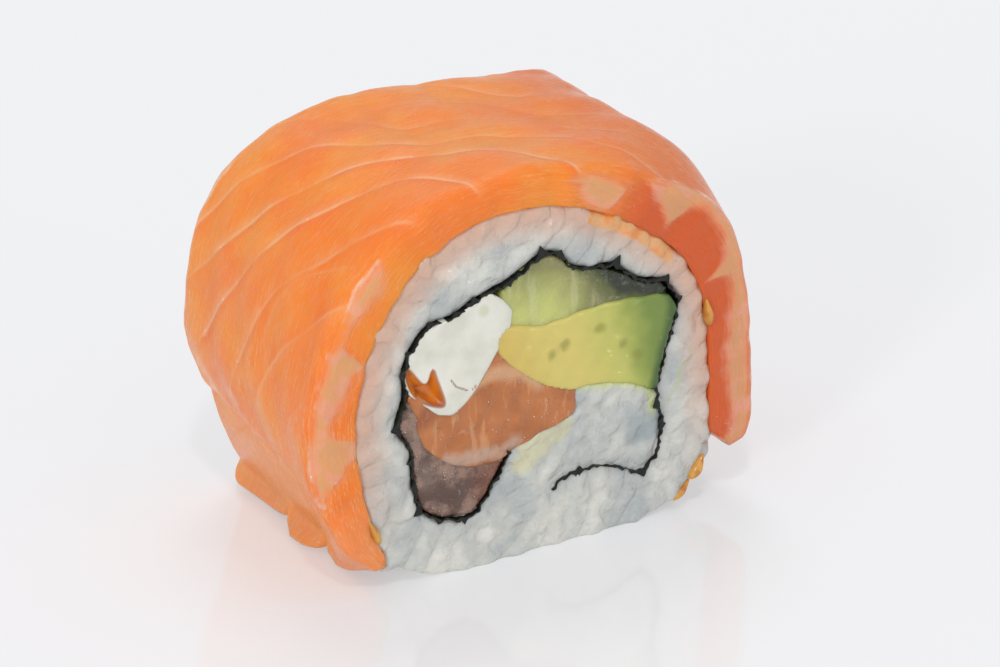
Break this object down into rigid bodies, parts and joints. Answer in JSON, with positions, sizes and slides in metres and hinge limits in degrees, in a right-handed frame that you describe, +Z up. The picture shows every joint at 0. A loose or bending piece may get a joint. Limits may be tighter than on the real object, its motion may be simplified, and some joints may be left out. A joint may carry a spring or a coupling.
{
  "type": "salmon wrapped sushi roll piece",
  "caption": "Cut piece of an inside-out sushi roll lying on its side under a thick blanket of raw salmon, with rice, seaweed and strips of filling showing at both cuts.",
  "frame": {"origin": "on the surface it rests on, under the middle of the whole piece's bounding box", "axes": "+Z up, Y along the roll's axis with the front cut facing -Y, +X to the right of the front cut"},
  "size_m": [0.0536, 0.0314, 0.0433],
  "materials": {
    "salmon_blanket": "wet raw salmon, orange with thin pale fat lines and a pale cut rim",
    "rice": "cooked short-grain rice, white and slightly translucent, with toasted sesame seeds",
    "nori_sheet": "dried seaweed sheet gone soft, near-black green",
    "cucumber_strip": "moist pale green flesh with a dark green rind",
    "avocado_slice": "smooth flesh, yellow going to green near the skin",
    "surimi_strip": "off-white crab stick with an orange skin",
    "salmon_strip": "moist raw salmon, muted orange with pale stripes",
    "dark_fish_strip": "moist dark fish, brown-grey with a wet speckle"
  },
  "bodies": {
    "root": {"salmon_blanket": "salmon_blanket", "rice": "rice", "nori_sheet": "nori_sheet", "cucumber_strip": "cucumber_strip", "avocado_slice": "avocado_slice", "surimi_strip": "surimi_strip", "salmon_strip": "salmon_strip", "dark_fish_strip": "dark_fish_strip"}
  },
  "joints": []
}
